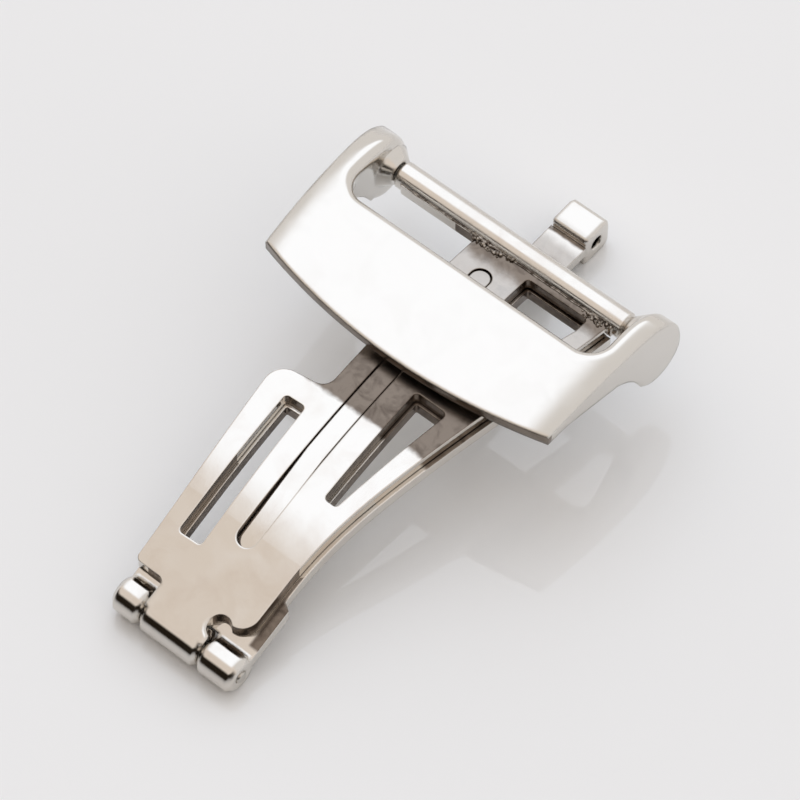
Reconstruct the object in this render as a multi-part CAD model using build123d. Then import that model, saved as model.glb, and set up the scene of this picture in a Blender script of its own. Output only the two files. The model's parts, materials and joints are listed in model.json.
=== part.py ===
from build123d import *
import math
import os

# Single-fold watch strap clasp with a swinging frame, one function for each physical piece.
# Lengths are in millimetres. X runs along the hinge, Y from the hinge to the lug, Z up.
# The pieces are drawn with the hinge axis at y = 0 and moved to the shared origin at the end.
# Points marked plan are (x, y), points marked side are (y, z).

# Hinge between the two blades
barrel_diameter = 2.44
left_barrel_start = -4.6
left_barrel_length = 2.02
knuckle_length = 4.3
right_barrel_length = 2.62
hinge_gap = 0.08
barrel_edge_chamfer = 0.3
hinge_pin_diameter = 0.8
hinge_pin_clearance = 0.03
hinge_pin_proud = 0.1
hinge_pin_chamfer = 0.08
bore_mouth_chamfer = 0.08
knuckle_relief = 0.12

# Common arch of both blades; it runs straight onto the knuckle at the hinge end
arch_radius = 50.69
arch_top_y = 22.64
run_end_y = 6.3
blade_thickness = 0.8
blade_gap = 0.1

# Upper blade, plan
shoulder_y = 1.35
shoulder_x = -4.69
shoulder_round = 0.35
web_round = 0.4
left_edge_middle = (-4.95, 7.0)
left_edge_end = (-5.55, 15.05)
left_corner_round = 1.3
neck_left_x = -2.1
neck_root_y = 15.5
neck_root_round = 0.9
flange_before_axis = 0.95
flange_end_gap = 0.6
flange_corner_round = 0.25
wing_end_step = 0.25
right_edge = [(6.28, 19.8), (4.92, 13.7), (3.87, 8.0), (3.69, 5.0)]
wing_corner = (3.65, 1.5)
wing_corner_round = 1.1
notch_centre = (2.0, 1.0)
notch_radius = 0.75

# Windows and slot of the blades, plan
left_window = [(-3.66, 3.95), (-1.96, 4.03), (-2.29, 13.85), (-3.77, 13.79)]
right_window = [(2.2, 10.1), (3.15, 10.1), (4.6, 18.45), (2.2, 18.45)]
rear_window_front = [(2.1, 20.5), (5.2, 20.5)]
rear_window_side = [(1.45, 3.5), (1.2, 2.4), (1.2, 1.3)]
window_round = 0.3
lower_window_inset = 0.2
slot_width = 1.4
slot_front_y = 5.3
slot_before_axis = 2.45

# Lower blade, plan
lower_left_x = -4.5
lower_left_middle = (-4.75, 7.0)
lower_left_end = (-5.35, 14.85)
lower_neck_root_y = 15.3
lower_front_right_x = 4.45
lower_step_y = 4.3
lower_step_length = 0.3
lower_edge_reveal = 0.28
lower_end_gap = 0.1
neck_end_before_axis = 1.8
tail_side_gap = 0.4

# Rib that stands in the slot of the upper blade
rib_side_gap = 0.08
rib_front_gap = 0.12
rib_back_gap = 0.12
rib_below_flush = 0.06
rib_dip = 0.45
rib_ramp_end_y = 12.0

# Tail strip and lug
tail_width = 2.7
tail_start_before_axis = 2.8
tail_bend_before_axis = 1.9
tail_foot_behind_axis = 2.38
tail_foot_z = 1.45
tail_bend_round = 1.0
lug_behind_axis = 5.4
lug_length = 2.3
lug_height = 2.5
lug_round = 0.6
lug_hole_diameter = 1.0
lug_hole_behind_front = 1.05
lug_hole_z = 1.3
lug_front_round = 0.3
lug_side_chamfer = 0.15

# Cross tube behind the arch's top, and the spring bar inside it
axis_behind_top = 7.56
axis_below_top = 0.81
cross_tube_diameter = 1.76
cross_tube_chamfer = 0.22
cross_tube_wall = 0.25
bar_running_clearance = 0.03
bar_recess = 0.15
bar_wall = 0.15
bar_end_wall = 0.3
tip_shoulder = 0.07
tip_head_length = 1.2
tip_reach = 1.0
tip_end_chamfer = 0.12
tip_head_play = 0.03
spring_wire_diameter = 0.16
spring_pitch = 2.8

# Frame, side, measured from the arch's top
crown_front = (-4.64, 0.96)
crown_middle = (-0.24, 1.84)
crown_back = (4.76, 2.09)
ear_shoulder = (8.26, 1.14)
ear_back = (9.41, -1.61)
lobe_centre = (7.44, -1.66)
lobe_radius = 1.97
lobe_start_angle = 215
throat_middle = (4.91, -1.16)
throat_top = (3.56, -0.06)
arm_under = [(0.76, 0.54), (-1.04, 0.84)]
lip_under = (-4.64, 0.45)

# Frame, plan, with Y measured from the arch's top
opening_half_width = 9.5
opening_front_y = 3.16
opening_corner_round = 1.4
front_edge_y = -3.94
front_corner_y = -2.54
front_corner_width = 1.2
side_middle_y = 2.86
side_middle_width = 1.5
side_back_y = 10.86
side_back_width = 1.7
arm_inner_round = 0.7
arm_outer_chamfer = 0.1
rim_lowest_z = 1.14
boss_diameter = 1.8
boss_root_diameter = 3.0
boss_height = 0.72
boss_gap = 0.08
boss_hole_clearance = 0.03
boss_hole_extra_depth = 0.3

# Overrun of every cutting body and the reach of bodies that are trimmed afterwards
overrun = 1.0
reach = 60.0

barrel_radius = barrel_diameter / 2
left_barrel_end = left_barrel_start + left_barrel_length
knuckle_start = left_barrel_end + hinge_gap
knuckle_end = knuckle_start + knuckle_length
right_barrel_start = knuckle_end + hinge_gap
right_barrel_end = right_barrel_start + right_barrel_length
run_slope = math.asin((arch_top_y - run_end_y) / arch_radius)
run_offset = barrel_radius * (1 + math.cos(run_slope)) - arch_radius * (1 - math.cos(run_slope))
arch_top_z = (run_offset + arch_top_y * math.sin(run_slope)) / math.cos(run_slope)
arch_centre_z = arch_top_z - arch_radius
lower_depth = blade_thickness + blade_gap
rib_width = slot_width - 2 * rib_side_gap

cross_axis_y = arch_top_y + axis_behind_top
cross_axis_z = arch_top_z - axis_below_top
flange_front_y = cross_axis_y - flange_before_axis
slot_back_y = cross_axis_y - slot_before_axis
neck_end_y = cross_axis_y - neck_end_before_axis
lower_end_y = cross_axis_y - cross_tube_diameter / 2 - lower_end_gap
lug_front_y = cross_axis_y + lug_behind_axis
origin_y = (lug_front_y + lug_length - barrel_radius) / 2

boss_face = opening_half_width - boss_height
cross_tube_end = boss_face - boss_gap
bar_end = cross_tube_end - bar_recess
bar_diameter = cross_tube_diameter - 2 * cross_tube_wall - 2 * bar_running_clearance
tip_head_diameter = bar_diameter - 2 * bar_wall - 2 * bar_running_clearance
tip_diameter = tip_head_diameter - 2 * tip_shoulder
flange_half_width = cross_tube_end - flange_end_gap
wing_end_x = flange_half_width - wing_end_step
rear_window = [
    *rear_window_front,
    *((wing_end_x - inward, cross_axis_y - before) for inward, before in rear_window_side),
    (rear_window_front[0][0], cross_axis_y - rear_window_side[-1][1]),
]
plate_under_start_y, plate_under_z = arm_under[-1]


def along_x(diameter, start, end, y, z):
    """A round bar parallel to X."""
    middle = (start + end) / 2
    return Pos(middle, y, z) * Rot(0, 90, 0) * Cylinder(diameter / 2, end - start)


def side_plate(face, width):
    """A side outline drawn in (y, z), made solid to both sides of the middle plane."""
    return extrude(Plane.YZ * face, amount=width / 2, both=True)


def arch_height(depth, y):
    """Height of the arch at y, at a depth below the upper blade's top."""
    radius = arch_radius - depth
    return arch_centre_z + math.sqrt(radius ** 2 - (y - arch_top_y) ** 2)


def run_point(depth, centre_y, centre_z, radius):
    """Where the straight run touches a circle, moved down to a depth below the top."""
    out = radius - depth
    return (centre_y - out * math.sin(run_slope), centre_z + out * math.cos(run_slope))


def arch_sheet(depth, thickness):
    """A sheet whose top lies at a depth below the upper blade's top: straight run, then arch."""
    edges = []
    ends = []
    for level in (depth, depth + thickness):
        start = run_point(level, 0, barrel_radius, barrel_radius)
        turn = run_point(level, arch_top_y, arch_centre_z, arch_radius)
        end = (lug_front_y, arch_height(level, lug_front_y))
        edges += [Line(start, turn), ThreePointArc(turn, (arch_top_y, arch_top_z - level), end)]
        ends.append((start, end))
    edges += [Line(ends[0][0], ends[1][0]), Line(ends[0][1], ends[1][1])]
    return side_plate(make_face(edges), reach)


def prism(face):
    """A plan outline made into a tall solid that cuts through both blades."""
    return extrude(face, amount=reach / 2, both=True)


def soften(face, corner, radius):
    """The face with its corner nearest to the given point rounded."""
    nearest = face.vertices().sort_by_distance(Vector(*corner))[0]
    return fillet(nearest, radius)


def rounded_window(corners):
    """A window outline with equally rounded corners."""
    return fillet(make_face(Polyline(*corners, close=True)).vertices(), window_round)


def slot_outline(width, front_y, back_y):
    """A straight slot along Y with round ends."""
    middle = (front_y + back_y) / 2
    return Pos(0, middle) * Rot(0, 0, 90) * SlotOverall(back_y - front_y, width)


def upper_outline():
    """Plan of the upper blade without its openings."""
    shoulder = (shoulder_x, shoulder_y)
    edges = [
        Polyline(wing_corner, (knuckle_end, wing_corner[1]), (knuckle_end, -barrel_radius),
                 (knuckle_start, -barrel_radius), (knuckle_start, shoulder_y), shoulder),
        ThreePointArc(shoulder, left_edge_middle, left_edge_end),
        Polyline(left_edge_end, (neck_left_x, neck_root_y), (neck_left_x, flange_front_y),
                 (-flange_half_width, flange_front_y), (-flange_half_width, cross_axis_y),
                 (flange_half_width, cross_axis_y), (flange_half_width, flange_front_y),
                 (wing_end_x, flange_front_y)),
        Spline((wing_end_x, flange_front_y), *right_edge),
        Line(right_edge[-1], wing_corner),
    ]
    face = make_face(edges)
    face = soften(face, (knuckle_start, shoulder_y), web_round)
    face = soften(face, shoulder, shoulder_round)
    face = soften(face, left_edge_end, left_corner_round)
    face = soften(face, (neck_left_x, neck_root_y), neck_root_round)
    face = soften(face, (neck_left_x, flange_front_y), flange_corner_round)
    face = soften(face, (-flange_half_width, flange_front_y), flange_corner_round)
    return soften(face, wing_corner, wing_corner_round)


def lower_outline():
    """Plan of the lower blade without its openings and its tail."""
    reveal_edge = [(x + lower_edge_reveal, y) for x, y in right_edge]
    wing_end = (wing_end_x + lower_edge_reveal, lower_end_y)
    tail_x = tail_width / 2
    front_left = (lower_left_x, -barrel_radius)
    step_end = (reveal_edge[-1][0], lower_step_y + lower_step_length)
    edges = [
        Polyline(step_end, (lower_front_right_x, lower_step_y),
                 (lower_front_right_x, -barrel_radius), front_left),
        ThreePointArc(front_left, lower_left_middle, lower_left_end),
        Polyline(lower_left_end, (neck_left_x, lower_neck_root_y), (neck_left_x, neck_end_y),
                 (tail_x + tail_side_gap, neck_end_y), (tail_x + tail_side_gap, lower_end_y),
                 wing_end),
        Spline(wing_end, *reveal_edge),
        Line(reveal_edge[-1], step_end),
    ]
    face = make_face(edges)
    face = soften(face, lower_left_end, left_corner_round)
    return soften(face, (neck_left_x, lower_neck_root_y), neck_root_round)


def barrel(start, end):
    """A hinge barrel with broken edges."""
    body = along_x(barrel_diameter, start, end, 0, barrel_radius)
    return chamfer(body.edges().filter_by(GeomType.CIRCLE), barrel_edge_chamfer)


def hinge_bore(diameter, start, end):
    """The round cut for the hinge pin between two positions along X."""
    return along_x(diameter, start, end, 0, barrel_radius)


def make_upper_blade():
    """Upper blade: knuckle, two wings with windows, the slot and the flange at the cross tube."""
    plan = upper_outline() - Pos(*notch_centre) * Circle(notch_radius)
    for corners in (left_window, right_window, rear_window):
        plan -= rounded_window(corners)
    plan -= slot_outline(slot_width, slot_front_y, slot_back_y)
    blade = arch_sheet(0, blade_thickness) & prism(plan)
    blade -= along_x(cross_tube_diameter, -reach / 2, reach / 2, cross_axis_y, cross_axis_z)
    behind = Pos(0, cross_axis_y + reach / 2, 0) * Box(reach, reach, reach)
    blade -= behind
    blade += barrel(knuckle_start, knuckle_end)
    bore = hinge_pin_diameter + 2 * hinge_pin_clearance
    return blade - hinge_bore(bore, knuckle_start - overrun, knuckle_end + overrun)


def make_rib():
    """The rib in the slot: it rises out of the lower blade and dips towards the hinge."""
    root_depth = lower_depth + blade_thickness
    plan = slot_outline(rib_width, slot_front_y + rib_front_gap, slot_back_y - rib_back_gap)
    rib = arch_sheet(rib_below_flush, root_depth - rib_below_flush) & prism(plan)
    front = (slot_front_y, arch_height(rib_below_flush, slot_front_y) - rib_dip)
    back = (rib_ramp_end_y, arch_height(rib_below_flush, rib_ramp_end_y))
    above = (rib_ramp_end_y, back[1] + overrun)
    ramp = make_face(Polyline(front, back, above, (slot_front_y, above[1]), close=True))
    return rib - side_plate(ramp, rib_width + 2 * overrun)


def make_tail():
    """The strip that dives under the cross tube and runs level to the lug."""
    middle = lower_depth + blade_thickness / 2
    start_y = cross_axis_y - tail_start_before_axis
    bend_y = cross_axis_y - tail_bend_before_axis
    line = FilletPolyline(
        (start_y, arch_height(middle, start_y)), (bend_y, arch_height(middle, bend_y)),
        (cross_axis_y + tail_foot_behind_axis, tail_foot_z), (lug_front_y, tail_foot_z),
        radius=tail_bend_round)
    return side_plate(trace(line, line_width=blade_thickness), tail_width)


def make_lower_blade():
    """Lower blade: two barrels, wings with windows, the rib and the tail strip."""
    plan = lower_outline()
    for corners in (left_window, right_window, rear_window):
        plan -= offset(rounded_window(corners), -lower_window_inset)
    blade = arch_sheet(lower_depth, blade_thickness) & prism(plan)
    relief = barrel_diameter + 2 * knuckle_relief
    blade -= along_x(relief, left_barrel_end, right_barrel_start, 0, barrel_radius)
    blade += make_rib() + make_tail()
    blade += barrel(left_barrel_start, left_barrel_end)
    blade += barrel(right_barrel_start, right_barrel_end)
    blade -= hinge_bore(hinge_pin_diameter, left_barrel_start - overrun, right_barrel_end + overrun)
    mouth = Pos(right_barrel_end, 0, barrel_radius) * Rot(0, 90, 0) * Cone(
        hinge_pin_diameter / 2, hinge_pin_diameter / 2 + 2 * bore_mouth_chamfer, 2 * bore_mouth_chamfer)
    return blade - mouth


def make_hinge_pin():
    """Hinge pin, held in both barrels, its ends standing out a little."""
    pin = along_x(hinge_pin_diameter, left_barrel_start - hinge_pin_proud,
                  right_barrel_end + hinge_pin_proud, 0, barrel_radius)
    return chamfer(pin.edges().filter_by(GeomType.CIRCLE), hinge_pin_chamfer)


def make_end_lug():
    """Lug block at the end of the tail strip, bored across for a strap bar."""
    middle = lug_front_y + lug_length / 2
    lug = Pos(0, middle, lug_height / 2) * Box(tail_width, lug_length, lug_height)
    back_edges = lug.edges().filter_by(Axis.X).group_by(Axis.Y)[-1]
    lug = fillet(back_edges, lug_round)
    corner_edges = lug.edges().filter_by(Axis.X).group_by(Axis.Z)[-1].group_by(Axis.Y)[0]
    lug = fillet(corner_edges, lug_front_round)
    lug = chamfer(lug.edges().group_by(Axis.X)[0] + lug.edges().group_by(Axis.X)[-1], lug_side_chamfer)
    hole_y = lug_front_y + lug_hole_behind_front
    return lug - along_x(lug_hole_diameter, -tail_width, tail_width, hole_y, lug_hole_z)


def make_cross_tube():
    """Tube along the end of the upper blade, soldered to the flange."""
    tube = along_x(cross_tube_diameter, -cross_tube_end, cross_tube_end, cross_axis_y, cross_axis_z)
    tube = chamfer(tube.edges().filter_by(GeomType.CIRCLE), cross_tube_chamfer)
    bore = cross_tube_diameter - 2 * cross_tube_wall
    return tube - along_x(bore, -reach / 2, reach / 2, cross_axis_y, cross_axis_z)


def make_bar_tube():
    """Thin tube of the spring bar, its ends closed in round the tips."""
    tube = along_x(bar_diameter, -bar_end, bar_end, cross_axis_y, cross_axis_z)
    tube -= along_x(bar_diameter - 2 * bar_wall, bar_end_wall - bar_end, bar_end - bar_end_wall,
                    cross_axis_y, cross_axis_z)
    hole = tip_diameter + 2 * bar_running_clearance
    return tube - along_x(hole, -reach / 2, reach / 2, cross_axis_y, cross_axis_z)


def make_bar_tip(side):
    """One tip of the spring bar: a head inside the tube and a thinner end in the frame."""
    head_end = bar_end - bar_end_wall - tip_head_play
    end = along_x(tip_diameter, head_end, boss_face + tip_reach, cross_axis_y, cross_axis_z)
    end = chamfer(end.edges().filter_by(GeomType.CIRCLE).sort_by(Axis.X)[-1], tip_end_chamfer)
    head = along_x(tip_head_diameter, head_end - tip_head_length, head_end, cross_axis_y, cross_axis_z)
    tip = head + end
    return tip if side > 0 else mirror(tip, about=Plane.YZ)


def make_bar_spring():
    """Coil spring that pushes both tips outwards, drawn as a closed coil with a ridge each turn."""
    tip_end = bar_end - bar_end_wall - tip_head_play - tip_head_length
    half_length = tip_end - tip_head_play
    outer = bar_diameter / 2 - bar_wall - bar_running_clearance
    valley = outer - spring_wire_diameter / 2
    inner = outer - spring_wire_diameter
    turns = round(2 * half_length / spring_pitch)
    step = half_length / turns
    ridges = [(step * count - half_length, valley if count % 2 else outer)
              for count in range(2 * turns + 1)]
    outline = Polyline((-half_length, inner), *ridges, (half_length, inner), close=True)
    coil = revolve(make_face(outline), Axis.X)
    return Pos(0, cross_axis_y, cross_axis_z) * coil


def frame_profile():
    """Side outline of the frame: the crowned top, the ear with its lobe, the throat and the lip."""
    start_angle = math.radians(lobe_start_angle)
    lobe_start = (lobe_centre[0] + lobe_radius * math.cos(start_angle),
                  lobe_centre[1] + lobe_radius * math.sin(start_angle))
    lobe_bottom = (lobe_centre[0], lobe_centre[1] - lobe_radius)
    edges = [
        ThreePointArc(crown_front, crown_middle, crown_back),
        Spline(crown_back, ear_shoulder, ear_back, tangents=[(1, 0), (0, -1)]),
        ThreePointArc(ear_back, lobe_bottom, lobe_start),
        Spline(lobe_start, throat_middle, throat_top),
        Polyline(throat_top, *arm_under, lip_under, crown_front),
    ]
    return make_face(edges)


def frame_outline():
    """Plan outline of the frame: curved front, sides that spread a little, open to the back."""
    corner_x = opening_half_width + front_corner_width
    middle_x = opening_half_width + side_middle_width
    back_x = opening_half_width + side_back_width
    corners = [(-corner_x, front_corner_y), (corner_x, front_corner_y)]
    backs = [(-back_x, side_back_y), (back_x, side_back_y)]
    edges = [
        ThreePointArc(corners[0], (0, front_edge_y), corners[1]),
        ThreePointArc(corners[1], (middle_x, side_middle_y), backs[1]),
        Line(*backs),
        ThreePointArc(backs[0], (-middle_x, side_middle_y), corners[0]),
    ]
    return make_face(edges)


def is_opening_rim(edge):
    """Whether an edge is an upper edge of the opening behind the plate."""
    middle = edge.position_at(0.5)
    inside = abs(middle.X) < opening_half_width + arm_inner_round
    return inside and middle.Z > rim_lowest_z and middle.Y > plate_under_start_y


def make_buckle_frame():
    """Frame: the plate over the blades, two arms and ears with bosses for the spring bar."""
    frame = side_plate(frame_profile(), reach) & prism(frame_outline())
    side_edges = frame.edges().group_by(Axis.X)[0] + frame.edges().group_by(Axis.X)[-1]
    frame = chamfer(side_edges, arm_outer_chamfer)
    opening = RectangleRounded(2 * opening_half_width, 2 * reach, opening_corner_round)
    frame -= prism(Pos(0, opening_front_y + reach) * opening)
    frame = fillet(frame.edges().filter_by(is_opening_rim), arm_inner_round)
    under = Pos(0, plate_under_start_y + reach / 2, plate_under_z - reach / 2)
    frame -= under * Box(2 * opening_half_width, reach, reach)
    for side in (-1, 1):
        boss = Cone(boss_root_diameter / 2, boss_diameter / 2, boss_height)
        middle = opening_half_width - boss_height / 2
        frame += Pos(side * middle, axis_behind_top, -axis_below_top) * Rot(0, -90 * side, 0) * boss
        depth = boss_face + tip_reach + boss_hole_extra_depth
        ends = sorted((side * (boss_face - overrun), side * depth))
        hole = tip_diameter + 2 * boss_hole_clearance
        frame -= along_x(hole, *ends, axis_behind_top, -axis_below_top)
    return Pos(0, arch_top_y, arch_top_z) * frame


if __name__ == "__main__":
    os.makedirs("parts", exist_ok=True)
    pieces = {
        "lower_blade": make_lower_blade(),
        "upper_blade": make_upper_blade(),
        "hinge_pin": make_hinge_pin(),
        "end_lug": make_end_lug(),
        "cross_tube": make_cross_tube(),
        "buckle_frame": make_buckle_frame(),
        "spring_bar_tube": make_bar_tube(),
        "spring_bar_spring": make_bar_spring(),
        "spring_bar_tip_left": make_bar_tip(-1),
        "spring_bar_tip_right": make_bar_tip(1),
    }
    for name, piece in pieces.items():
        export_step(Pos(0, -origin_y, 0) * piece, f"parts/{name}.step")
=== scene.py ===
"""Studio scene of a closed single-fold watch strap clasp in polished steel."""

import json
import logging
import math
import random
from dataclasses import dataclass, replace
from enum import Enum

import bmesh
import bpy
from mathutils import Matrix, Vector, noise


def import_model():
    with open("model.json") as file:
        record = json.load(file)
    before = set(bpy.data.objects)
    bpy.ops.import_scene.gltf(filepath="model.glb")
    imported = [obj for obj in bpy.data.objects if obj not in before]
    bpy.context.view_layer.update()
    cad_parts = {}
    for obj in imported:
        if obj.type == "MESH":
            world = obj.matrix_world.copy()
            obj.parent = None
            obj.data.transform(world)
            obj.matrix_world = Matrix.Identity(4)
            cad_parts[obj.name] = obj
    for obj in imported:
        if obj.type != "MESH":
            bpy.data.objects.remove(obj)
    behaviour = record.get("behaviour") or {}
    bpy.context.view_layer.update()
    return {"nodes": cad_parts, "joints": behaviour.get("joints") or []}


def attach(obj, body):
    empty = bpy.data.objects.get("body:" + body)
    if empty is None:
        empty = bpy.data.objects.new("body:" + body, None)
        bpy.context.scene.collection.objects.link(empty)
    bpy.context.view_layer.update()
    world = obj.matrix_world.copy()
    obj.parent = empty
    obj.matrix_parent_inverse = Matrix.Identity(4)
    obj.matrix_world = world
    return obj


MM = 0.001
WALL_TILT = 0.35  # a face is upright where its normal has less than this share of Z
FLOAT_A, FLOAT_B, FLOAT_OUT = 2, 3, 0  # sockets of a Mix node that mixes plain values
COLOUR_A, COLOUR_B, COLOUR_OUT = 6, 7, 2  # sockets of a Mix node that mixes colours
LOG = logging.getLogger("clasp")
Tree = bpy.types.NodeTree
Socket = bpy.types.NodeSocket
Settings = dict[str | int, object]
Links = dict[str | int, Socket]
Direction = tuple[float, float, float]
RIGHT: Direction = (1.0, 0.0, 0.0)
LEFT: Direction = (-1.0, 0.0, 0.0)
BACK: Direction = (0.0, 1.0, 0.0)
FRONT: Direction = (0.0, -1.0, 0.0)


class Grain(Enum):
    """How the last tool left its marks on a piece of steel, as stretches of the scratch noise."""

    BUFFED_ALONG = (1.0, 0.1, 1.0)
    BUFFED_ACROSS = (0.1, 1.0, 1.0)
    TURNED = (1.0, 0.06, 0.06)
    DRAWN = (0.04, 1.0, 1.0)


class Axis(Enum):
    """The two ways that places on the clasp are measured, from the middle of the hinge axis."""

    ACROSS = "X"
    LENGTHWISE = "Y"


def linear(hex_colour: str) -> tuple[float, float, float, float]:
    """Turn an sRGB hex colour into linear values.

    Args:
        hex_colour: Six hex digits, with or without a leading hash.

    Returns:
        Red, green and blue as linear values, and an alpha of one.
    """
    digits = hex_colour.lstrip("#")
    channels = [int(digits[i:i + 2], 16) / 255 for i in (0, 2, 4)]
    red, green, blue = (c / 12.92 if c <= 0.04045 else ((c + 0.055) / 1.055) ** 2.4 for c in channels)
    return red, green, blue, 1.0


def add_node(
    tree: Tree, kind: str, settings: Settings | None = None, links: Links | None = None,
) -> bpy.types.Node:
    """Add a node to a tree and set and link it.

    Args:
        tree: The node tree that takes the node.
        kind: The node's type name.
        settings: Attribute names, or input names and numbers, with their values.
        links: Input names or numbers, with the sockets that feed them.

    Returns:
        The new node.
    """
    node = tree.nodes.new(kind)
    for name, value in (settings or {}).items():
        if isinstance(name, str) and hasattr(node, name):
            setattr(node, name, value)
        else:
            node.inputs[name].default_value = value
    for name, socket in (links or {}).items():
        tree.links.new(socket, node.inputs[name])
    return node


def start_material(name: str, metallic: float) -> tuple[bpy.types.Material, bpy.types.Node]:
    """Make a material that uses nodes.

    Args:
        name: The material's name.
        metallic: One for a metal, nought for anything else.

    Returns:
        The material and its shader.
    """
    material = bpy.data.materials.new(name)
    material.use_nodes = True
    shader = material.node_tree.nodes["Principled BSDF"]
    shader.inputs["Metallic"].default_value = metallic
    return material, shader


@dataclass(frozen=True)
class Pivots:
    """Where the hinge axis and the cross tube's axis lie in the shared frame, in millimetres."""

    hinge_y: float
    tube_y: float
    tube_z: float

    @classmethod
    def from_joints(cls, joints: list[dict]) -> "Pivots":
        """Read both axes from the joints that turn about them.

        Args:
            joints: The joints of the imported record.

        Returns:
            The places of both axes.
        """
        places = {joint["name"]: joint["pos_m"] for joint in joints if "pos_m" in joint}
        _, hinge_y, _ = places["blade_fold"]
        _, tube_y, tube_z = places["frame_lift"]
        return cls(hinge_y / MM, tube_y / MM, tube_z / MM)


@dataclass(frozen=True)
class Surface:
    """The surface of a piece at rest, as the nodes of its material read it."""

    tree: Tree
    place: Socket
    hinge_y_mm: float

    def distance(self, axis: Axis) -> Socket:
        """Measure how far each point lies from the middle of the hinge axis.

        Args:
            axis: The axis to measure along.

        Returns:
            The distance in metres.
        """
        axes = add_node(self.tree, "ShaderNodeSeparateXYZ", None, {"Vector": self.place})
        along = axes.outputs[axis.value]
        if axis is Axis.ACROSS:
            return along
        shifted = add_node(
            self.tree, "ShaderNodeMath", {"operation": "SUBTRACT", 1: self.hinge_y_mm * MM}, {0: along})
        return shifted.outputs[0]

    def tilt(self) -> Socket:
        """Give the share of Z in each face's normal, from one on top to minus one underneath."""
        normal = add_node(self.tree, "ShaderNodeTexCoord").outputs["Normal"]
        return add_node(self.tree, "ShaderNodeSeparateXYZ", None, {"Vector": normal}).outputs["Z"]


@dataclass(frozen=True)
class PaintedShadeBand:
    """A stretch of the upper faces, measured from the hinge axis, that takes painted shade and a duller
    gloss.
    """

    start_mm: float
    end_mm: float
    start_blur_mm: float
    end_blur_mm: float = 0.5
    left_mm: float = -20.0
    wander_mm: float = 0.5
    ripple_mm: float = 0.9
    share: float = 1.0

    def mask(self, surface: Surface) -> Socket:
        """Make a value that is the band's share inside the band and nought outside it.

        Args:
            surface: The surface that the band lies on.

        Returns:
            The mask, whose edges wander a little.
        """
        tree = surface.tree
        ripple = add_node(
            tree, "ShaderNodeTexNoise", {"Scale": 1 / (self.ripple_mm * MM), "Detail": 4.0},
            {"Vector": surface.place})
        wander = add_node(
            tree, "ShaderNodeMath",
            {"operation": "MULTIPLY_ADD", 1: self.wander_mm * MM, 2: -self.wander_mm * MM / 2},
            {0: ripple.outputs["Fac"]})
        upper = add_node(
            tree, "ShaderNodeMath", {"operation": "GREATER_THAN", 1: WALL_TILT}, {0: surface.tilt()})
        mask = add_node(
            tree, "ShaderNodeMath", {"operation": "MULTIPLY", 1: self.share}, {0: upper.outputs[0]})
        borders = (
            (Axis.LENGTHWISE, self.start_mm, self.start_blur_mm),
            (Axis.LENGTHWISE, self.end_mm, -self.end_blur_mm),
            (Axis.ACROSS, self.left_mm, self.start_blur_mm))
        for axis, border, blur in borders:
            wandering = add_node(
                tree, "ShaderNodeMath", {"operation": "ADD"},
                {0: surface.distance(axis), 1: wander.outputs[0]})
            inside = add_node(
                tree, "ShaderNodeMapRange",
                {"interpolation_type": "SMOOTHSTEP", "From Min": (border - blur) * MM,
                 "From Max": (border + blur) * MM},
                {"Value": wandering.outputs[0]})
            mask = add_node(
                tree, "ShaderNodeMath", {"operation": "MULTIPLY"},
                {0: mask.outputs[0], 1: inside.outputs["Result"]})
        return mask.outputs[0]


@dataclass(frozen=True)
class PaintedShadeWalls:
    """Upright walls that the press cut through the sheet, measured from the middle of the hinge axis, which
    take painted shade and a duller gloss.
    """

    start_mm: float
    end_mm: float
    reach_mm: float

    def mask(self, surface: Surface) -> Socket:
        """Make a value that is one on the walls and nought elsewhere.

        Args:
            surface: The surface that has the walls.

        Returns:
            The mask, with sharp edges.
        """
        tree = surface.tree
        middle, half = (self.start_mm + self.end_mm) / 2, (self.end_mm - self.start_mm) / 2
        mask = add_node(
            tree, "ShaderNodeMath", {"operation": "COMPARE", 1: 0.0, 2: WALL_TILT}, {0: surface.tilt()})
        for axis, centre, limit in ((Axis.ACROSS, 0.0, self.reach_mm), (Axis.LENGTHWISE, middle, half)):
            inside = add_node(
                tree, "ShaderNodeMath", {"operation": "COMPARE", 1: centre * MM, 2: limit * MM},
                {0: surface.distance(axis)})
            mask = add_node(
                tree, "ShaderNodeMath", {"operation": "MULTIPLY"},
                {0: mask.outputs[0], 1: inside.outputs[0]})
        return mask.outputs[0]


@dataclass(frozen=True)
class Roll:
    """A face that is level round its middle and falls away beyond, as a soft wheel or a former leaves it."""

    axis: Axis
    middle_mm: float
    level_mm: float
    radius_mm: float
    length_mm: float = 20.0
    both_ways: bool = True

    def height(self, surface: Surface) -> Socket:
        """Make the height of the face.

        Args:
            surface: The surface that rolls.

        Returns:
            The height in shares of the roll's radius.
        """
        tree = surface.tree
        offset = add_node(
            tree, "ShaderNodeMath", {"operation": "SUBTRACT", 1: self.middle_mm * MM},
            {0: surface.distance(self.axis)})
        if self.both_ways:
            offset = add_node(tree, "ShaderNodeMath", {"operation": "ABSOLUTE"}, {0: offset.outputs[0]})
        past = add_node(
            tree, "ShaderNodeMath", {"operation": "SUBTRACT", 1: self.level_mm * MM},
            {0: offset.outputs[0]})
        kept = add_node(
            tree, "ShaderNodeClamp", {"Min": 0.0, "Max": self.length_mm * MM}, {"Value": past.outputs[0]})
        square = add_node(
            tree, "ShaderNodeMath", {"operation": "MULTIPLY"}, {0: kept.outputs[0], 1: kept.outputs[0]})
        height = add_node(
            tree, "ShaderNodeMath", {"operation": "DIVIDE", 1: -2 * (self.radius_mm * MM) ** 2},
            {0: square.outputs[0]})
        return height.outputs[0]
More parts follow.
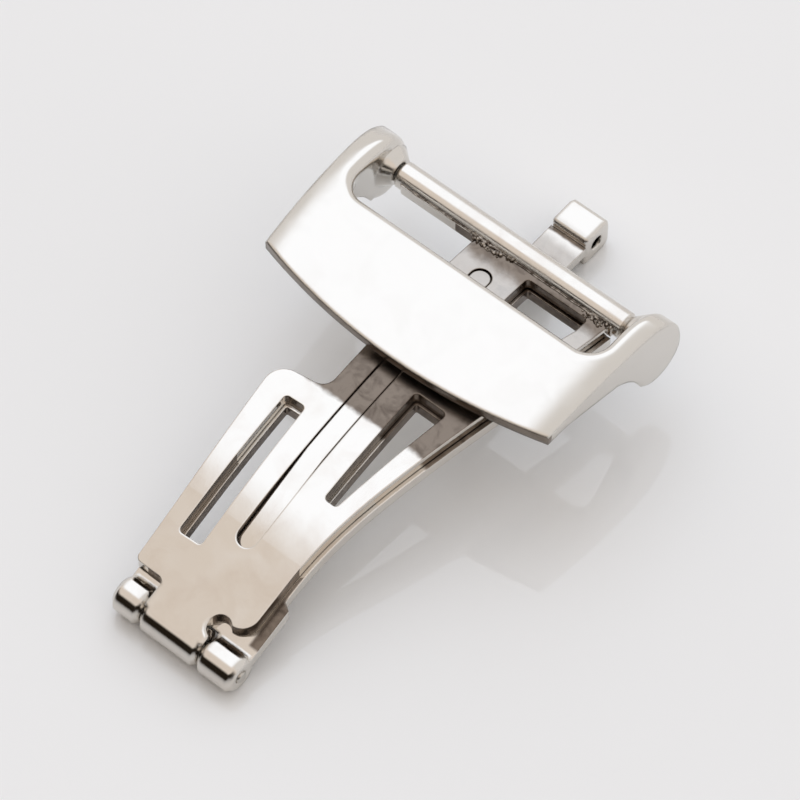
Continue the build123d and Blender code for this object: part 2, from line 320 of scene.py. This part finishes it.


# A warm grey metal that mirrors the room. Rolled edges catch thin bright lines, slow waves bend what the
# faces mirror, hairlines and wiping marks blur it in patches, and painted shade with a duller gloss darkens
# the places under and beside other parts and the upright walls.
@dataclass(frozen=True)
class StainlessSteel:
    """Stainless steel 316L, cut from sheet or rod, then buffed or left as the tool leaves it.

    Places and lengths are in millimetres, and a range gives the noise values where a change starts
    and where it is complete.
    """

    name: str
    colour: str = "#DAD6D0"
    stain_colour: str = "#D5CFC8"
    stain_mm: float = 2.4
    patch_range: tuple[float, float] = (0.45, 0.7)
    roughness: float = 0.05
    smear: float = 0.08
    wiping_mm: float = 2.2
    wiping_range: tuple[float, float] = (0.38, 0.68)
    grain: Grain = Grain.BUFFED_ALONG
    # Buffing, turning and drawing leave lines near 0.01 mm apart, too fine to show, so they are
    # drawn six times coarser.
    scratch_mm: float = 0.06
    scratch_depth_mm: float = 0.0008
    hairline_range: tuple[float, float] = (0.6, 0.75)
    wave_mm: float = 3.0
    wave_height_mm: float = 0.012
    edge_mm: float = 0.12
    edge_samples: int = 8
    barrel_edge_mm: float | None = None
    barrel_end_mm: float = 1.2
    barrel_blur_mm: float = 0.1
    roll: Roll | None = None
    # Painted shade: two tones mixed in patches, laid with a duller gloss on the shaded places.
    painted_shade_colour: str = "#7A6F65"
    painted_deep_shade_colour: str = "#5A5048"
    shade_patch_mm: float = 1.1
    dull_roughness: float = 0.25
    shade_and_dull_places: tuple[PaintedShadeBand | PaintedShadeWalls, ...] = ()

    def _roughness(self, surface: Surface, scratches: Socket) -> Socket:
        """Spread the gloss unevenly: wiping marks in large patches and hairlines inside them.

        Args:
            surface: The surface that takes the finish.
            scratches: The socket with the scratch noise.

        Returns:
            The roughness of the buffed surface.
        """
        tree = surface.tree
        clean, smeared = self.wiping_range
        faint, clear = self.hairline_range
        wiping = add_node(
            tree, "ShaderNodeTexNoise",
            {"Scale": 1 / (self.wiping_mm * MM), "Detail": 5.0, "Distortion": 0.8},
            {"Vector": surface.place})
        spread = add_node(
            tree, "ShaderNodeMapRange",
            {"From Min": clean, "From Max": smeared, "To Min": self.roughness,
             "To Max": self.roughness + self.smear},
            {"Value": wiping.outputs["Fac"]})
        hairlines = add_node(
            tree, "ShaderNodeMapRange",
            {"From Min": faint, "From Max": clear, "To Min": 0.0, "To Max": self.smear},
            {"Value": scratches})
        total = add_node(
            tree, "ShaderNodeMath", {"operation": "ADD"},
            {0: spread.outputs["Result"], 1: hairlines.outputs["Result"]})
        return total.outputs[0]

    def _patches(self, surface: Surface, main: str, other: str, size_mm: float) -> Socket:
        """Mix two tones of the metal in soft patches, as handling and heat leave them.

        Args:
            surface: The surface that takes the tones.
            main: The hex colour of most of the surface.
            other: The hex colour of the patches.
            size_mm: The size of a patch.

        Returns:
            The mixed colour.
        """
        outside, inside = self.patch_range
        cloud = add_node(
            surface.tree, "ShaderNodeTexNoise",
            {"Scale": 1 / (size_mm * MM), "Detail": 4.0, "Roughness": 0.6, "Distortion": 0.6},
            {"Vector": surface.place})
        share = add_node(
            surface.tree, "ShaderNodeMapRange", {"From Min": outside, "From Max": inside},
            {"Value": cloud.outputs["Fac"]})
        mix = add_node(
            surface.tree, "ShaderNodeMix",
            {"data_type": "RGBA", COLOUR_A: linear(main), COLOUR_B: linear(other)},
            {0: share.outputs["Result"]})
        return mix.outputs[COLOUR_OUT]

    def _paint_shade_and_dull(self, surface: Surface, colour: Socket, roughness: Socket) -> tuple[Socket, Socket]:
        """Lay painted shade and a duller gloss over the shaded places.

        Args:
            surface: The surface that has the places.
            colour: The colour of the buffed metal.
            roughness: The roughness of the buffed metal.

        Returns:
            The colour and the roughness of the whole surface.
        """
        shade_tones = self._patches(surface, self.painted_shade_colour, self.painted_deep_shade_colour, self.shade_patch_mm)
        for dull_place in self.shade_and_dull_places:
            mask = dull_place.mask(surface)
            colour = add_node(
                surface.tree, "ShaderNodeMix", {"data_type": "RGBA"},
                {0: mask, COLOUR_A: colour, COLOUR_B: shade_tones}).outputs[COLOUR_OUT]
            roughness = add_node(
                surface.tree, "ShaderNodeMix", {"data_type": "FLOAT", FLOAT_B: self.dull_roughness},
                {0: mask, FLOAT_A: roughness}).outputs[FLOAT_OUT]
        return colour, roughness

    def _rolled_edges(self, surface: Surface) -> Socket:
        """Roll the edges over, to another radius on the barrels where the finish names one.

        Args:
            surface: The surface whose edges are rolled.

        Returns:
            The normal of the surface with its edges rolled.
        """
        edges = add_node(
            surface.tree, "ShaderNodeBevel",
            {"samples": self.edge_samples, "Radius": self.edge_mm * MM})
        if self.barrel_edge_mm:
            radius = add_node(
                surface.tree, "ShaderNodeMapRange",
                {"From Min": (self.barrel_end_mm - self.barrel_blur_mm) * MM,
                 "From Max": (self.barrel_end_mm + self.barrel_blur_mm) * MM,
                 "To Min": self.barrel_edge_mm * MM, "To Max": self.edge_mm * MM},
                {"Value": surface.distance(Axis.LENGTHWISE)})
            surface.tree.links.new(radius.outputs["Result"], edges.inputs["Radius"])
        return edges.outputs["Normal"]

    def _relief(self, surface: Surface, scratches: Socket) -> Socket:
        """Roll the edges over, let the buffed face wave slowly and lay scratches on it.

        Args:
            surface: The surface that takes the relief.
            scratches: The socket with the scratch noise.

        Returns:
            The normal of the finished surface.
        """
        waves = add_node(
            surface.tree, "ShaderNodeTexNoise", {"Scale": 1 / (self.wave_mm * MM), "Detail": 1.0},
            {"Vector": surface.place})
        layers = [(waves.outputs["Fac"], self.wave_height_mm), (scratches, self.scratch_depth_mm)]
        if self.roll:
            layers.insert(0, (self.roll.height(surface), self.roll.radius_mm))
        normal = self._rolled_edges(surface)
        for height, depth_mm in layers:
            bump = add_node(
                surface.tree, "ShaderNodeBump", {"Strength": 1.0, "Distance": depth_mm * MM},
                {"Height": height, "Normal": normal})
            normal = bump.outputs["Normal"]
        return normal

    def build(self, hinge_y_mm: float) -> bpy.types.Material:
        """Make the material.

        Args:
            hinge_y_mm: Y of the hinge axis, which the places of the finish are measured from.

        Returns:
            A metal with rolled edges, slow waves, fine scratches, and places with painted shade and a duller
            gloss.
        """
        material, shader = start_material(self.name, metallic=1.0)
        tree = material.node_tree
        surface = Surface(tree, add_node(tree, "ShaderNodeTexCoord").outputs["Object"], hinge_y_mm)
        stretched = add_node(
            tree, "ShaderNodeMapping", {"Scale": self.grain.value}, {"Vector": surface.place})
        scratches = add_node(
            tree, "ShaderNodeTexNoise",
            {"Scale": 1 / (self.scratch_mm * MM), "Detail": 3.0, "Roughness": 0.6},
            {"Vector": stretched.outputs["Vector"]}).outputs["Fac"]
        colour = self._patches(surface, self.colour, self.stain_colour, self.stain_mm)
        roughness = self._roughness(surface, scratches)
        if self.shade_and_dull_places:
            colour, roughness = self._paint_shade_and_dull(surface, colour, roughness)
        tree.links.new(colour, shader.inputs["Base Color"])
        tree.links.new(roughness, shader.inputs["Roughness"])
        tree.links.new(self._relief(surface, scratches), shader.inputs["Normal"])
        return material


# Pale grains that glint, with dark brown hollows between them, so the seam looks rough and burnt.
@dataclass(frozen=True)
class SilverSolder:
    """Silver solder as it ran and froze, with flux burnt brown in its hollows."""

    name: str = "silver_solder_frozen"
    bright: str = "#B8B0A6"
    burnt: str = "#4A4038"
    roughness: float = 0.3
    lump_mm: float = 0.22
    hollow_end: float = 0.42
    crest_start: float = 0.62
    relief_mm: float = 0.03
    relief_strength: float = 0.9

    def build(self) -> bpy.types.Material:
        """Make the material.

        Returns:
            A lumpy grey metal that is brown in its hollows.
        """
        material, shader = start_material(self.name, metallic=1.0)
        shader.inputs["Roughness"].default_value = self.roughness
        tree = material.node_tree
        place = add_node(tree, "ShaderNodeTexCoord").outputs["Object"]
        lumps = add_node(
            tree, "ShaderNodeTexNoise",
            {"Scale": 1 / (self.lump_mm * MM), "Detail": 5.0, "Roughness": 0.65}, {"Vector": place})
        tones = add_node(tree, "ShaderNodeValToRGB", None, {"Fac": lumps.outputs["Fac"]})
        stops = ((self.hollow_end, self.burnt), (self.crest_start, self.bright))
        for element, (position, colour) in zip(tones.color_ramp.elements, stops):
            element.position = position
            element.color = linear(colour)
        tree.links.new(tones.outputs["Color"], shader.inputs["Base Color"])
        bump = add_node(
            tree, "ShaderNodeBump", {"Strength": self.relief_strength, "Distance": self.relief_mm * MM},
            {"Height": lumps.outputs["Fac"]})
        tree.links.new(bump.outputs["Normal"], shader.inputs["Normal"])
        return material


# A nearly white ground that mirrors the clasp weakly and sharply, a little hazier in places.
@dataclass(frozen=True)
class GlossyBoard:
    """Pale laminated board, pressed smooth."""

    name: str = "laminate_board_pressed"
    colour: str = "#F3F5F7"
    roughness: float = 0.015
    haze: float = 0.03
    haze_mm: float = 9.0
    haze_range: tuple[float, float] = (0.35, 0.7)

    def build(self) -> bpy.types.Material:
        """Make the material.

        Returns:
            A pale board with a glossy face.
        """
        material, shader = start_material(self.name, metallic=0.0)
        shader.inputs["Base Color"].default_value = linear(self.colour)
        tree = material.node_tree
        clear, hazy = self.haze_range
        place = add_node(tree, "ShaderNodeTexCoord").outputs["Object"]
        cloud = add_node(
            tree, "ShaderNodeTexNoise", {"Scale": 1 / (self.haze_mm * MM), "Detail": 3.0},
            {"Vector": place})
        gloss = add_node(
            tree, "ShaderNodeMapRange",
            {"From Min": clear, "From Max": hazy, "To Min": self.roughness,
             "To Max": self.roughness + self.haze},
            {"Value": cloud.outputs["Fac"]})
        tree.links.new(gloss.outputs["Result"], shader.inputs["Roughness"])
        return material


# Painted shade with a duller gloss in the corner between strip and lug, on both pieces.
LUG_CORNER_SHADE = PaintedShadeBand(35.3, 35.75, 0.12, wander_mm=0.3)

# Satin grey rods with fine rings round them, which the lathe left.
TURNED_STEEL = StainlessSteel(
    "pin_steel_turned", colour="#BDB9B3", roughness=0.16, smear=0.08, grain=Grain.TURNED)


@dataclass
class SteelSubAssembly:
    """CAD pieces that keep their shapes and get the finish of the real ones."""

    nodes: dict[str, bpy.types.Object]
    pivots: Pivots

    def _dress(self, finish: StainlessSteel, *names: str) -> list[bpy.types.Object]:
        """Give pieces one finish.

        Args:
            finish: The finish that they share.
            *names: The names of the pieces.

        Returns:
            The dressed pieces.
        """
        material = finish.build(self.pivots.hinge_y)
        pieces = [self.nodes[name] for name in names]
        for piece in pieces:
            piece.data.materials.clear()
            piece.data.materials.append(material)
        return pieces


@dataclass
class Blades(SteelSubAssembly):
    """Lower and upper blade, pressed from sheet 0.8 mm thick and buffed lengthwise."""

    barrel_edge_mm: float = 0.35
    # Painted shade with a duller gloss: under and behind the frame, before the tube, beside the hinge and
    # before the lug.
    under_plate: PaintedShadeBand = PaintedShadeBand(15.35, 22.5, 0.18, end_blur_mm=2.5)
    behind_plate: PaintedShadeBand = PaintedShadeBand(22.0, 34.9, 1.2, share=0.5)
    before_tube: PaintedShadeBand = PaintedShadeBand(28.1, 33.5, 0.6, left_mm=-2.3, wander_mm=1.2)
    beside_hinge: PaintedShadeBand = PaintedShadeBand(1.5, 4.7, 0.12, end_blur_mm=0.3, left_mm=3.78, wander_mm=0.1)
    before_lug: PaintedShadeBand = LUG_CORNER_SHADE
    # Painted shade with a duller gloss on the upright walls in the middle and round the windows.
    middle_walls: PaintedShadeWalls = PaintedShadeWalls(1.25, 30.0, 3.72)
    wide_window: PaintedShadeWalls = PaintedShadeWalls(15.0, 19.0, 4.75)
    rear_window: PaintedShadeWalls = PaintedShadeWalls(28.0, 29.1, 6.6)
    rib_ramp: Roll = Roll(Axis.LENGTHWISE, 5.4, 0.0, 50.7, length_mm=6.6, both_ways=False)

    def build(self) -> list[bpy.types.Object]:
        """Dress both blades.

        Returns:
            The blades.
        """
        # A near mirror on the open faces, with painted brown shade and a duller gloss where the frame, the
        # tube and the lug shade them, beside the hinge and on the upright walls.
        upper = StainlessSteel(
            "upper_blade_steel_buffed", barrel_edge_mm=self.barrel_edge_mm,
            shade_and_dull_places=(
                self.under_plate, self.behind_plate, self.before_tube, self.before_lug,
                self.beside_hinge, self.middle_walls, self.wide_window, self.rear_window))
        # The same, and the rib's ramp is bent a little, so what it mirrors slides slowly along it.
        lower = replace(upper, name="lower_blade_steel_buffed", roll=self.rib_ramp)
        return self._dress(lower, "lower_blade") + self._dress(upper, "upper_blade")


@dataclass
class HingePin(SteelSubAssembly):
    """Pin turned from rod, which stands out a little at both ends."""

    edge_mm: float = 0.12

    def build(self) -> list[bpy.types.Object]:
        """Dress the pin and return it."""
        finish = replace(TURNED_STEEL, name="hinge_pin_steel_turned", edge_mm=self.edge_mm)
        return self._dress(finish, "hinge_pin")


@dataclass
class EndLug(SteelSubAssembly):
    """Block on the end of the strip, bored across for the other strap half."""

    edge_mm: float = 0.28
    before_lug: PaintedShadeBand = LUG_CORNER_SHADE

    def build(self) -> list[bpy.types.Object]:
        """Dress the lug.

        Returns:
            The lug.
        """
        # A small bright block with soft corners and a faint grey line of painted shade where it meets the
        # strip.
        finish = StainlessSteel(
            "lug_steel_buffed", edge_mm=self.edge_mm, painted_shade_colour="#B8B1A8", painted_deep_shade_colour="#A39B92",
            shade_and_dull_places=(self.before_lug,))
        return self._dress(finish, "end_lug")


@dataclass
class CrossTube(SteelSubAssembly):
    """Tube along the upper blade's flange, which holds the spring bar."""

    wave_mm: float = 1.6

    def build(self) -> list[bpy.types.Object]:
        """Dress the tube.

        Returns:
            The tube.
        """
        # Duller than the plate and scratched across, so its highlight is broad and breaks up along it.
        finish = StainlessSteel(
            "tube_steel_buffed", roughness=0.15, smear=0.12, grain=Grain.BUFFED_ACROSS,
            wave_mm=self.wave_mm)
        return self._dress(finish, "cross_tube")


@dataclass
class BuckleFrame(SteelSubAssembly):
    """Crowned plate with two arms and bosses, buffed on a soft wheel."""

    edge_mm: float = 0.35
    # Painted dark reflection, with a duller gloss, on the frame's upright front lip.
    lip: PaintedShadeWalls = PaintedShadeWalls(18.0, 20.4, 11.1)
    ends: Roll = Roll(Axis.ACROSS, -0.2, 8.5, 8.5)

    def build(self) -> list[bpy.types.Object]:
        """Dress the frame.

        Returns:
            The frame.
        """
        # A bright plate that greys towards both ends, over a thin lip along its front edge that carries a
        # painted dark reflection.
        finish = StainlessSteel(
            "frame_steel_buffed", stain_colour="#D9D5CF", roughness=0.08, smear=0.12,
            grain=Grain.BUFFED_ACROSS, edge_mm=self.edge_mm, roll=self.ends,
            painted_shade_colour="#857C73", painted_deep_shade_colour="#6E655C", shade_and_dull_places=(self.lip,))
        return self._dress(finish, "buckle_frame")


@dataclass
class SpringBar(SteelSubAssembly):
    """Spring bar inside the cross tube: a tube, a coil and two tips that reach into the bosses."""

    edge_mm: float = 0.05
    coil_edge_mm: float = 0.02

    def build(self) -> list[bpy.types.Object]:
        """Dress the bar.

        Returns:
            The bar's tube, its tips and its coil.
        """
        turned = replace(TURNED_STEEL, name="spring_bar_steel_turned", edge_mm=self.edge_mm)
        # Darker wire with faint lines drawn along it.
        drawn = StainlessSteel(
            "spring_steel_drawn", colour="#A7A39C", roughness=0.2, smear=0.08, grain=Grain.DRAWN,
            edge_mm=self.coil_edge_mm)
        rods = self._dress(turned, "spring_bar_tube", "spring_bar_tip_left", "spring_bar_tip_right")
        return rods + self._dress(drawn, "spring_bar_spring")


@dataclass(frozen=True)
class Lump:
    """A place along the seam where solder was fed in."""

    at_mm: float
    width_mm: float
    height_mm: float


@dataclass
class SolderSeam:
    """Bead and crumbs of solder in the corner between the upper blade's flange and the cross tube."""

    pivots: Pivots
    start_mm: float = -7.7
    end_mm: float = 7.7
    before_tube_axis_mm: float = 0.87
    over_tube_axis_mm: float = 0.38
    radius_mm: float = 0.045
    thinnest_mm: float = 0.01
    wander_mm: float = 0.04
    wanders_per_mm: float = 1.1
    wander_row: float = 7.0
    roughness: float = 0.3
    bumps_per_mm: float = 5.0
    bump_row: float = 2.0
    lumps: tuple[Lump, ...] = (Lump(-1.7, 0.6, 0.08), Lump(-0.7, 0.5, 0.06), Lump(6.8, 0.5, 0.08))
    lump_roughness: float = 0.6
    lump_bumps_per_mm: float = 3.1
    lump_row: float = 0.4
    steps: int = 150
    taper_steps: float = 12.5
    sides: int = 8
    crumbs_per_lump: int = 28
    crumb_mm: tuple[float, float] = (0.04, 0.15)
    crumb_roughness: float = 0.45
    crumb_bumps: float = 1.7
    crumb_divisions: int = 2
    crumb_reach_mm: float = 0.4
    crumb_crowding: float = 1.8
    crumb_rise: tuple[float, float] = (-0.4, 0.3)
    blade_slope: float = 0.125
    seed: int = 4

    def _corner(self) -> tuple[float, float]:
        """Give Y and Z of the corner between flange and tube, in millimetres."""
        return self.pivots.tube_y - self.before_tube_axis_mm, self.pivots.tube_z + self.over_tube_axis_mm

    def _radius(self, step: int, x: float) -> float:
        """Work out how thick the bead is: thin all along, with lumps where the solder was fed in.

        Args:
            step: The step along the seam.
            x: The place along the seam in millimetres.

        Returns:
            The radius in millimetres, which tapers towards both ends.
        """
        fed = sum(
            lump.height_mm * math.exp(-((x - lump.at_mm) / lump.width_mm) ** 2) for lump in self.lumps)
        rough = 1 + self.lump_roughness * noise.noise(
            Vector((x * self.lump_bumps_per_mm, self.lump_row, 0)))
        share = min(1.0, step / self.taper_steps, (self.steps - step) / self.taper_steps)
        return max((self.radius_mm + fed * rough) * math.sin(math.pi * share / 2), self.thinnest_mm)

    def _ring(self, mesh: bmesh.types.BMesh, step: int) -> list[bmesh.types.BMVert]:
        """Add one ring of corners round the bead.

        Args:
            mesh: The mesh that takes the ring.
            step: The step along the seam.

        Returns:
            The ring's corners.
        """
        middle_y, middle_z = self._corner()
        x = self.start_mm + (self.end_mm - self.start_mm) * step / self.steps
        radius = self._radius(step, x)
        wander = self.wander_mm * noise.noise(Vector((x * self.wanders_per_mm, self.wander_row, 0)))
        ring = []
        for side in range(self.sides):
            angle = 2 * math.pi * side / self.sides
            rough = 1 + self.roughness * noise.noise(Vector((x * self.bumps_per_mm, angle, self.bump_row)))
            y = middle_y + wander + radius * rough * math.cos(angle)
            z = middle_z + radius * rough * math.sin(angle)
            ring.append(mesh.verts.new(Vector((x, y, z)) * MM))
        return ring

    def _bead(self, mesh: bmesh.types.BMesh) -> None:
        """Run the bead along the corner as a closed tube.

        Args:
            mesh: The mesh that takes the bead.
        """
        rings = [self._ring(mesh, step) for step in range(self.steps + 1)]
        for ring, following in zip(rings, rings[1:]):
            for side in range(self.sides):
                turn = (side + 1) % self.sides
                mesh.faces.new((ring[side], ring[turn], following[turn], following[side]))
        mesh.faces.new(rings[0][::-1])
        mesh.faces.new(rings[-1])

    def _crumb(self, mesh: bmesh.types.BMesh, centre: Vector, radius: float) -> None:
        """Add a rough grain of solder and burnt flux.

        Args:
            mesh: The mesh that takes the grain.
            centre: The grain's middle in metres.
            radius: The grain's mean radius in metres.
        """
        grain = bmesh.ops.create_icosphere(mesh, subdivisions=self.crumb_divisions, radius=radius)
        for corner in grain["verts"]:
            bump = noise.noise(corner.co / radius * self.crumb_bumps + centre / MM)
            corner.co *= 1 + self.crumb_roughness * bump
            corner.co += centre

    def _crumbs(self, mesh: bmesh.types.BMesh) -> None:
        """Strew crumbs round each lump, from the bead out onto the blade.

        Args:
            mesh: The mesh that takes the crumbs.
        """
        middle_y, middle_z = self._corner()
        chance = random.Random(self.seed)
        for lump in self.lumps:
            for _ in range(self.crumbs_per_lump):
                radius = chance.uniform(*self.crumb_mm)
                out = self.crumb_reach_mm * chance.random() ** self.crumb_crowding
                x = chance.gauss(lump.at_mm, lump.width_mm)
                rise = chance.uniform(*self.crumb_rise) * radius
                centre = Vector((x, middle_y - out, middle_z + self.blade_slope * out + rise))
                self._crumb(mesh, centre * MM, radius * MM)

    def build(self) -> list[bpy.types.Object]:
        """Make the bead and its crumbs as one piece that rides on the upper blade.

        Returns:
            The seam.
        """
        mesh = bmesh.new()
        self._bead(mesh)
        self._crumbs(mesh)
        bmesh.ops.recalc_face_normals(mesh, faces=mesh.faces)
        data = bpy.data.meshes.new("solder_seam")
        mesh.to_mesh(data)
        mesh.free()
        data.shade_smooth()
        data.materials.append(SilverSolder().build())
        seam = bpy.data.objects.new("solder_seam", data)
        bpy.context.collection.objects.link(seam)
        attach(seam, "upper_part")
        return [seam]


@dataclass
class Studio:
    """Board under the clasp, and the room: a soft lamp overhead, a pale ceiling, a dark wall in front.

    The room is the world, so its parts are directions. Edges and blurs are shares of a direction.
    """

    board_m: float = 1.6
    lamp: str = "#F4F8FF"
    lamp_strength: float = 1.55
    lamp_lean: Direction = (0.0, 0.45, 0.89)
    lamp_foot: float = 0.74
    lamp_foot_blur: float = 0.035
    lamp_left: float = -0.68
    lamp_right: float = -0.03
    lamp_side_blur: float = 0.14
    ceiling: str = "#EDEAE8"
    front_ceiling: str = "#F2E7DD"
    front_start: float = 0.0
    front_blur: float = 0.15
    ceiling_strength: float = 1.04
    wall: str = "#262019"
    wall_lean: Direction = (0.0, 0.38, 1.0)
    wall_top: float = 0.3
    wall_top_blur: float = 0.08
    wall_end: float = -0.15
    wall_end_blur: float = 0.15
    backdrop: str = "#E7E7E9"

    def _beyond(self, tree: Tree, direction: Socket, axis: Direction, edge: float, blur: float) -> Socket:
        """Ease from nought to one where a direction leans far enough along an axis.

        Args:
            tree: The world's node tree.
            direction: The socket with the direction that is looked in.
            axis: The axis that the direction is compared with.
            edge: The share along the axis where the change is half done.
            blur: How far the change reaches to each side.

        Returns:
            The eased value.
        """
        lean = add_node(
            tree, "ShaderNodeVectorMath", {"operation": "DOT_PRODUCT", 1: axis}, {0: direction})
        ease = add_node(
            tree, "ShaderNodeMapRange",
            {"interpolation_type": "SMOOTHSTEP", "From Min": edge - blur, "From Max": edge + blur},
            {"Value": lean.outputs["Value"]})
        return ease.outputs["Result"]

    def _ceiling(self, tree: Tree, direction: Socket) -> Socket:
        """Make the ceiling, which is warmer towards the front.

        Args:
            tree: The world's node tree.
            direction: The socket with the direction that is looked in.

        Returns:
            The ceiling's light.
        """
        to_front = self._beyond(tree, direction, FRONT, self.front_start, self.front_blur)
        tone = add_node(
            tree, "ShaderNodeMix",
            {"data_type": "RGBA", COLOUR_A: linear(self.ceiling), COLOUR_B: linear(self.front_ceiling)},
            {0: to_front})
        ceiling = add_node(
            tree, "ShaderNodeBackground", {"Strength": self.ceiling_strength},
            {"Color": tone.outputs[COLOUR_OUT]})
        return ceiling.outputs[0]

    def _over_wall(self, tree: Tree, direction: Socket) -> Socket:
        """Make a value that is nought on the dark front wall and one over and behind it.

        Args:
            tree: The world's node tree.
            direction: The socket with the direction that is looked in.

        Returns:
            The value.
        """
        over = self._beyond(tree, direction, self.wall_lean, self.wall_top, self.wall_top_blur)
        behind = self._beyond(tree, direction, BACK, self.wall_end, self.wall_end_blur)
        return add_node(tree, "ShaderNodeMath", {"operation": "MAXIMUM"}, {0: over, 1: behind}).outputs[0]

    def _in_lamp(self, tree: Tree, direction: Socket) -> Socket:
        """Make a value that is one in the lamp and nought outside it.

        Args:
            tree: The world's node tree.
            direction: The socket with the direction that is looked in.

        Returns:
            The value.
        """
        in_lamp = self._beyond(tree, direction, self.lamp_lean, self.lamp_foot, self.lamp_foot_blur)
        for axis, edge in ((RIGHT, self.lamp_left), (LEFT, -self.lamp_right)):
            side = self._beyond(tree, direction, axis, edge, self.lamp_side_blur)
            in_lamp = add_node(
                tree, "ShaderNodeMath", {"operation": "MULTIPLY"}, {0: in_lamp, 1: side}).outputs[0]
        return in_lamp

    def _room(self) -> None:
        """Make the room as the world, with a plain backdrop where the camera sees it past the board."""
        world = bpy.data.worlds.new("room")
        bpy.context.scene.world = world
        world.use_nodes = True
        tree = world.node_tree
        direction = add_node(tree, "ShaderNodeTexCoord").outputs["Generated"]
        wall = add_node(tree, "ShaderNodeBackground", {"Color": linear(self.wall)})
        lamp = add_node(
            tree, "ShaderNodeBackground", {"Color": linear(self.lamp), "Strength": self.lamp_strength})
        backdrop = add_node(tree, "ShaderNodeBackground", {"Color": linear(self.backdrop)})
        light = wall.outputs[0]
        for share, other in (
                (self._over_wall(tree, direction), self._ceiling(tree, direction)),
                (self._in_lamp(tree, direction), lamp.outputs[0]),
                (add_node(tree, "ShaderNodeLightPath").outputs["Is Camera Ray"], backdrop.outputs[0])):
            light = add_node(tree, "ShaderNodeMixShader", None, {0: share, 1: light, 2: other}).outputs[0]
        tree.links.new(light, tree.nodes["World Output"].inputs["Surface"])

    def build(self) -> list[bpy.types.Object]:
        """Make the board and the room.

        Returns:
            The board.
        """
        bpy.ops.mesh.primitive_plane_add(size=self.board_m, location=(0, 0, 0))
        board = bpy.context.object
        board.name = "board"
        board.data.materials.append(GlossyBoard().build())
        self._room()
        return [board]


@dataclass
class PhotoCamera:
    """The camera of the photograph, fitted to the clasp's outlines."""

    azimuth_deg: float = 39.80
    elevation_deg: float = 57.49
    distance_m: float = 0.3
    nearest_m: float = 0.01
    target_mm: tuple[float, float, float] = (-1.09, 2.61, 0.0)
    lens_mm: float = 225.9
    sensor_mm: float = 36.0

    def build(self) -> list[bpy.types.Object]:
        """Make the camera and hand it to the scene.

        Returns:
            The camera.
        """
        data = bpy.data.cameras.new("photo_camera")
        data.lens = self.lens_mm
        data.sensor_width = self.sensor_mm
        data.clip_start = self.nearest_m
        camera = bpy.data.objects.new("photo_camera", data)
        azimuth, elevation = math.radians(self.azimuth_deg), math.radians(self.elevation_deg)
        back = Vector((
            math.sin(azimuth) * math.cos(elevation), -math.cos(azimuth) * math.cos(elevation),
            math.sin(elevation)))
        camera.location = Vector(self.target_mm) * MM + back * self.distance_m
        camera.rotation_euler = back.to_track_quat("Z", "Y").to_euler()
        bpy.context.collection.objects.link(camera)
        bpy.context.scene.camera = camera
        return [camera]


def main() -> None:
    """Build the sub-assemblies, the studio and the camera in order."""
    logging.basicConfig(level=logging.INFO, format="%(message)s")
    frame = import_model()
    pivots = Pivots.from_joints(frame["joints"])
    steel = (Blades, HingePin, EndLug, CrossTube, BuckleFrame, SpringBar)
    sub_assemblies = [sub_assembly(frame["nodes"], pivots) for sub_assembly in steel]
    for builder in (*sub_assemblies, SolderSeam(pivots), Studio(), PhotoCamera()):
        for piece in builder.build():
            LOG.info("%s: %s", type(builder).__name__, piece.name)
    bpy.context.scene.view_settings.view_transform = "Standard"
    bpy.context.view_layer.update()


if __name__ == "__main__":
    main()
